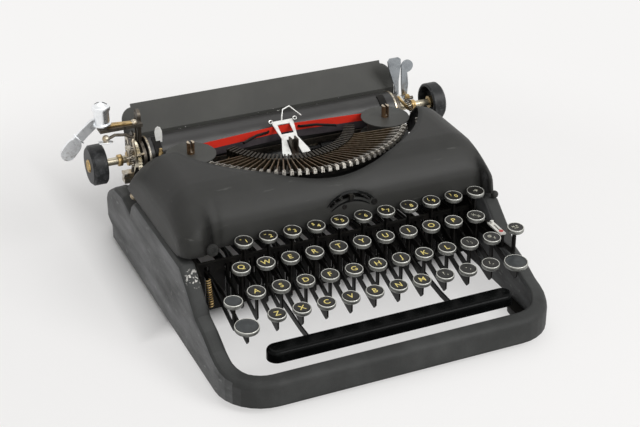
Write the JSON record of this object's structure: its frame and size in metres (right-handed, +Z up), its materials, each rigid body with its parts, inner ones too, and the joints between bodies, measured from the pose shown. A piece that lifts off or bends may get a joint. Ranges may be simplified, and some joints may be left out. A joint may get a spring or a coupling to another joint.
{
  "type": "portable typewriter",
  "caption": "Portable manual typewriter with a lifting hood, ringed keys, fanned type bars, ribbon spools and a sliding, shifting carriage.",
  "frame": {"origin": "centre of the overall box at table height, under the rubber feet", "axes": "+X to the operator's right, +Y away from the operator, +Z up"},
  "size_m": [0.3292, 0.298, 0.1411],
  "materials": {
    "casing_paint": "black crackle enamel",
    "hood_paint": "satin black enamel",
    "black_steel": "black japanned steel",
    "foot_rubber": "matt",
    "bright_steel": "nickel plated",
    "lever_chrome": "bright chrome",
    "bar_steel": "aged brownish steel",
    "spool_steel": "grey spool metal",
    "ribbon_cloth": "inked two-colour ribbon",
    "roller_rubber": "satin",
    "drum_brass": "aged brass",
    "key_steel": "black lever with nickel ring and black top",
    "bar_moulding": "gloss black",
    "guide_nickel": "bright nickel",
    "selector_white": "white"
  },
  "bodies": {
    "body": {"casing": "casing_paint", "rubber_feet": "foot_rubber", "mechanism_frame": "black_steel", "key_fulcrum_rod": "bright_steel", "type_segment": "bar_steel", "typebars": "bar_steel", "type_guide": "bright_steel", "spool_cups": "black_steel", "ribbon": "ribbon_cloth", "hood_pivots": "bright_steel", "bell": "bright_steel"},
    "hood": {"hood": "hood_paint"},
    "touch_lever": {"touch_lever": "black_steel"},
    "lift": {"carriage_rails": "bright_steel"},
    "carriage": {"carriage_frame": "black_steel", "paper_fingers": "lever_chrome", "paper_table": "hood_paint"},
    "platen": {"platen": "roller_rubber", "platen_knobs": "roller_rubber"},
    "feed_rollers": {"feed_rollers": "roller_rubber"},
    "return_lever": {"return_lever": "lever_chrome"},
    "paper_release": {"paper_release_lever": "lever_chrome"},
    "carriage_release": {"carriage_release_lever": "lever_chrome"},
    "margin_stop_left": {"margin_stop_left": "bright_steel"},
    "margin_stop_right": {"margin_stop_right": "bright_steel"},
    "spool_left": {"ribbon_spool_left": "spool_steel"},
    "spool_right": {"ribbon_spool_right": "spool_steel"},
    "ribbon_vibrator": {"ribbon_vibrator": "guide_nickel"},
    "ribbon_selector": {"ribbon_selector": "selector_white"},
    "mainspring_drum": {"mainspring_drum": "black_steel"},
    "escapement_wheel": {"escapement_wheel": "drum_brass"},
    "typebar_h": {"typebar_h": "bar_steel"},
    "space_bar": {"space_bar": "bar_moulding"},
    "left_shift": {"left_shift_key": "key_steel"},
    "right_shift": {"right_shift_key": "key_steel"},
    "shift_lock": {"shift_lock_key": "key_steel"},
    "backspace": {"backspace_key": "key_steel"},
    "margin_release": {"margin_release_key": "key_steel"},
    "figure_keys": {"figure_keys": "key_steel"},
    "punctuation_keys": {"punctuation_keys": "key_steel"},
    "lower_letter_keys": {"lower_letter_keys": "key_steel"},
    "key_q": {"key_q": "key_steel"},
    "key_w": {"key_w": "key_steel"},
    "key_e": {"key_e": "key_steel"},
    "key_r": {"key_r": "key_steel"},
    "key_t": {"key_t": "key_steel"},
    "key_y": {"key_y": "key_steel"},
    "key_u": {"key_u": "key_steel"},
    "key_i": {"key_i": "key_steel"},
    "key_o": {"key_o": "key_steel"},
    "key_p": {"key_p": "key_steel"},
    "key_a": {"key_a": "key_steel"},
    "key_s": {"key_s": "key_steel"},
    "key_d": {"key_d": "key_steel"},
    "key_f": {"key_f": "key_steel"},
    "key_g": {"key_g": "key_steel"},
    "key_h": {"key_h": "key_steel"},
    "key_j": {"key_j": "key_steel"},
    "key_k": {"key_k": "key_steel"},
    "key_l": {"key_l": "key_steel"}
  },
  "joints": [
    {"name": "hood_open", "type": "hinge", "parent": "body", "child": "hood", "pos_m": [0.01125, -0.039, 0.084], "axis": [1, 0, 0], "range_deg": [0, 60]},
    {"name": "carriage_slide", "type": "slide", "parent": "lift", "child": "carriage", "axis": [1, 0, 0], "range_m": [-0.1, 0.1]},
    {"name": "carriage_lift", "type": "slide", "parent": "body", "child": "lift", "axis": [0, 0, 1], "range_m": [0, 0.0045]},
    {"name": "carriage_platen_turn", "type": "hinge", "parent": "carriage", "child": "platen", "pos_m": [0.01125, 0.098, 0.0873], "axis": [1, 0, 0], "continuous": true},
    {"name": "carriage_feed_rollers", "type": "hinge", "parent": "carriage", "child": "feed_rollers", "pos_m": [0.01125, 0.0904, 0.0694], "axis": [1, 0, 0], "continuous": true},
    {"name": "carriage_return_lever", "type": "hinge", "parent": "carriage", "child": "return_lever", "pos_m": [-0.13025, 0.094, 0.12], "axis": [0, 0, 1], "range_deg": [0, 35], "stiffness_Nm_per_rad": 0.05, "springref_deg": -11.46},
    {"name": "carriage_paper_release", "type": "hinge", "parent": "carriage", "child": "paper_release", "pos_m": [0.12725, 0.1065, 0.09], "axis": [1, 0, 0], "range_deg": [0, 20]},
    {"name": "carriage_key_release", "type": "hinge", "parent": "carriage", "child": "carriage_release", "pos_m": [0.13525, 0.1065, 0.09], "axis": [1, 0, 0], "range_deg": [0, 20]},
    {"name": "carriage_margin_stop_left", "type": "slide", "parent": "carriage", "child": "margin_stop_left", "axis": [1, 0, 0], "range_m": [-0.018, 0.06]},
    {"name": "carriage_margin_stop_right", "type": "slide", "parent": "carriage", "child": "margin_stop_right", "axis": [1, 0, 0], "range_m": [-0.06, 0.018]},
    {"name": "hood_touch_lever", "type": "hinge", "parent": "hood", "child": "touch_lever", "pos_m": [0.01915, -0.038, 0.0647], "axis": [0, 1, 0], "range_deg": [-34, 34]},
    {"name": "drive_drum", "type": "hinge", "parent": "body", "child": "mainspring_drum", "pos_m": [-0.07475, 0.101, 0.029], "axis": [0, 1, 0], "range_deg": [-430, 430]},
    {"name": "drive_escapement", "type": "hinge", "parent": "body", "child": "escapement_wheel", "pos_m": [0.01125, 0.103, 0.042], "axis": [0, 1, 0], "range_deg": [-480, 480]},
    {"name": "ribbon_spool_left_spin", "type": "hinge", "parent": "body", "child": "spool_left", "pos_m": [-0.07175, 0.058, 0.09], "axis": [0, 0, 1], "continuous": true},
    {"name": "ribbon_spool_right_spin", "type": "hinge", "parent": "body", "child": "spool_right", "pos_m": [0.09425, 0.058, 0.09], "axis": [0, 0, 1], "continuous": true},
    {"name": "ribbon_vibrator_lift", "type": "slide", "parent": "body", "child": "ribbon_vibrator", "axis": [0, 0.8956, 0.4449], "range_m": [0, 0.002]},
    {"name": "ribbon_selector_slide", "type": "slide", "parent": "body", "child": "ribbon_selector", "axis": [0, 1, 0], "range_m": [-0.003, 0.003]},
    {"name": "letter_typebar_h", "type": "hinge", "parent": "body", "child": "typebar_h", "pos_m": [0.01581, 0.02902, 0.0935], "axis": [-0.9996, -0.0289, 0], "range_deg": [0, 156]},
    {"name": "space_bar_press", "type": "hinge", "parent": "body", "child": "space_bar", "pos_m": [0.01125, 0.076, 0.04], "axis": [1, 0, 0], "range_deg": [0, 2.33], "stiffness_Nm_per_rad": 1.5, "springref_deg": -8.59},
    {"name": "shift_key_left", "type": "hinge", "parent": "body", "child": "left_shift", "pos_m": [-0.09265, 0.076, 0.04], "axis": [1, 0, 0], "range_deg": [0, 2.47], "stiffness_Nm_per_rad": 0.5, "springref_deg": -8.59},
    {"name": "shift_key_right", "type": "hinge", "parent": "body", "child": "right_shift", "pos_m": [0.12275, 0.076, 0.04], "axis": [1, 0, 0], "range_deg": [0, 2.47], "stiffness_Nm_per_rad": 0.5, "springref_deg": -8.59},
    {"name": "shift_lock_press", "type": "hinge", "parent": "body", "child": "shift_lock", "pos_m": [-0.09505, 0.076, 0.04], "axis": [1, 0, 0], "range_deg": [0, 1.73], "stiffness_Nm_per_rad": 0.5, "springref_deg": -8.59},
    {"name": "margin_release_press", "type": "hinge", "parent": "body", "child": "margin_release", "pos_m": [0.12795, 0.076, 0.04], "axis": [1, 0, 0], "range_deg": [0, 2.02], "stiffness_Nm_per_rad": 0.5, "springref_deg": -8.59},
    {"name": "key_backspace", "type": "hinge", "parent": "body", "child": "backspace", "pos_m": [0.12025, 0.076, 0.04], "axis": [1, 0, 0], "range_deg": [0, 4.7], "stiffness_Nm_per_rad": 0.5, "springref_deg": -8.59},
    {"name": "key_figure_row", "type": "hinge", "parent": "body", "child": "figure_keys", "pos_m": [0.01125, 0.076, 0.04], "axis": [1, 0, 0], "range_deg": [0, 4.7], "stiffness_Nm_per_rad": 5, "springref_deg": -8.59},
    {"name": "key_punctuation", "type": "hinge", "parent": "body", "child": "punctuation_keys", "pos_m": [0.01125, 0.076, 0.04], "axis": [1, 0, 0], "range_deg": [0, 3.21], "stiffness_Nm_per_rad": 3, "springref_deg": -8.59},
    {"name": "key_lower_row", "type": "hinge", "parent": "body", "child": "lower_letter_keys", "pos_m": [0.01125, 0.076, 0.04], "axis": [1, 0, 0], "range_deg": [0, 3.21], "stiffness_Nm_per_rad": 3.5, "springref_deg": -8.59},
    {"name": "key_q_press", "type": "hinge", "parent": "body", "child": "key_q", "pos_m": [-0.07905, 0.076, 0.04], "axis": [1, 0, 0], "range_deg": [0, 4.07], "stiffness_Nm_per_rad": 0.5, "springref_deg": -8.59},
    {"name": "key_w_press", "type": "hinge", "parent": "body", "child": "key_w", "pos_m": [-0.06, 0.076, 0.04], "axis": [1, 0, 0], "range_deg": [0, 4.07], "stiffness_Nm_per_rad": 0.5, "springref_deg": -8.59},
    {"name": "key_e_press", "type": "hinge", "parent": "body", "child": "key_e", "pos_m": [-0.04095, 0.076, 0.04], "axis": [1, 0, 0], "range_deg": [0, 4.07], "stiffness_Nm_per_rad": 0.5, "springref_deg": -8.59},
    {"name": "key_r_press", "type": "hinge", "parent": "body", "child": "key_r", "pos_m": [-0.0219, 0.076, 0.04], "axis": [1, 0, 0], "range_deg": [0, 4.07], "stiffness_Nm_per_rad": 0.5, "springref_deg": -8.59},
    {"name": "key_t_press", "type": "hinge", "parent": "body", "child": "key_t", "pos_m": [-0.00285, 0.076, 0.04], "axis": [1, 0, 0], "range_deg": [0, 4.07], "stiffness_Nm_per_rad": 0.5, "springref_deg": -8.59},
    {"name": "key_y_press", "type": "hinge", "parent": "body", "child": "key_y", "pos_m": [0.0162, 0.076, 0.04], "axis": [1, 0, 0], "range_deg": [0, 4.07], "stiffness_Nm_per_rad": 0.5, "springref_deg": -8.59},
    {"name": "key_u_press", "type": "hinge", "parent": "body", "child": "key_u", "pos_m": [0.03525, 0.076, 0.04], "axis": [1, 0, 0], "range_deg": [0, 4.07], "stiffness_Nm_per_rad": 0.5, "springref_deg": -8.59},
    {"name": "key_i_press", "type": "hinge", "parent": "body", "child": "key_i", "pos_m": [0.0543, 0.076, 0.04], "axis": [1, 0, 0], "range_deg": [0, 4.07], "stiffness_Nm_per_rad": 0.5, "springref_deg": -8.59},
    {"name": "key_o_press", "type": "hinge", "parent": "body", "child": "key_o", "pos_m": [0.07335, 0.076, 0.04], "axis": [1, 0, 0], "range_deg": [0, 4.07], "stiffness_Nm_per_rad": 0.5, "springref_deg": -8.59},
    {"name": "key_p_press", "type": "hinge", "parent": "body", "child": "key_p", "pos_m": [0.0924, 0.076, 0.04], "axis": [1, 0, 0], "range_deg": [0, 4.07], "stiffness_Nm_per_rad": 0.5, "springref_deg": -8.59},
    {"name": "key_a_press", "type": "hinge", "parent": "body", "child": "key_a", "pos_m": [-0.07525, 0.076, 0.04], "axis": [1, 0, 0], "range_deg": [0, 3.59], "stiffness_Nm_per_rad": 0.5, "springref_deg": -8.59},
    {"name": "key_s_press", "type": "hinge", "parent": "body", "child": "key_s", "pos_m": [-0.0562, 0.076, 0.04], "axis": [1, 0, 0], "range_deg": [0, 3.59], "stiffness_Nm_per_rad": 0.5, "springref_deg": -8.59},
    {"name": "key_d_press", "type": "hinge", "parent": "body", "child": "key_d", "pos_m": [-0.03715, 0.076, 0.04], "axis": [1, 0, 0], "range_deg": [0, 3.59], "stiffness_Nm_per_rad": 0.5, "springref_deg": -8.59},
    {"name": "key_f_press", "type": "hinge", "parent": "body", "child": "key_f", "pos_m": [-0.0181, 0.076, 0.04], "axis": [1, 0, 0], "range_deg": [0, 3.59], "stiffness_Nm_per_rad": 0.5, "springref_deg": -8.59},
    {"name": "key_g_press", "type": "hinge", "parent": "body", "child": "key_g", "pos_m": [0.00095, 0.076, 0.04], "axis": [1, 0, 0], "range_deg": [0, 3.59], "stiffness_Nm_per_rad": 0.5, "springref_deg": -8.59},
    {"name": "key_h_press", "type": "hinge", "parent": "body", "child": "key_h", "pos_m": [0.02, 0.076, 0.04], "axis": [1, 0, 0], "range_deg": [0, 3.59], "stiffness_Nm_per_rad": 0.5, "springref_deg": -8.59},
    {"name": "key_j_press", "type": "hinge", "parent": "body", "child": "key_j", "pos_m": [0.03905, 0.076, 0.04], "axis": [1, 0, 0], "range_deg": [0, 3.59], "stiffness_Nm_per_rad": 0.5, "springref_deg": -8.59},
    {"name": "key_k_press", "type": "hinge", "parent": "body", "child": "key_k", "pos_m": [0.0581, 0.076, 0.04], "axis": [1, 0, 0], "range_deg": [0, 3.59], "stiffness_Nm_per_rad": 0.5, "springref_deg": -8.59},
    {"name": "key_l_press", "type": "hinge", "parent": "body", "child": "key_l", "pos_m": [0.07715, 0.076, 0.04], "axis": [1, 0, 0], "range_deg": [0, 3.59], "stiffness_Nm_per_rad": 0.5, "springref_deg": -8.59}
  ],
  "couplings": [
    {"joint": "carriage_lift", "follows": "shift_key_left", "m_per_rad": 0.10421},
    {"joint": "shift_key_right", "follows": "shift_key_left", "ratio": 1},
    {"joint": "carriage_feed_rollers", "follows": "carriage_platen_turn", "ratio": -3.75},
    {"joint": "ribbon_spool_right_spin", "follows": "ribbon_spool_left_spin", "ratio": 1},
    {"joint": "drive_drum", "follows": "carriage_slide", "rad_per_m": 74},
    {"joint": "drive_escapement", "follows": "carriage_slide", "rad_per_m": 83},
    {"joint": "letter_typebar_h", "follows": "key_h_press", "ratio": 43.474}
  ]
}
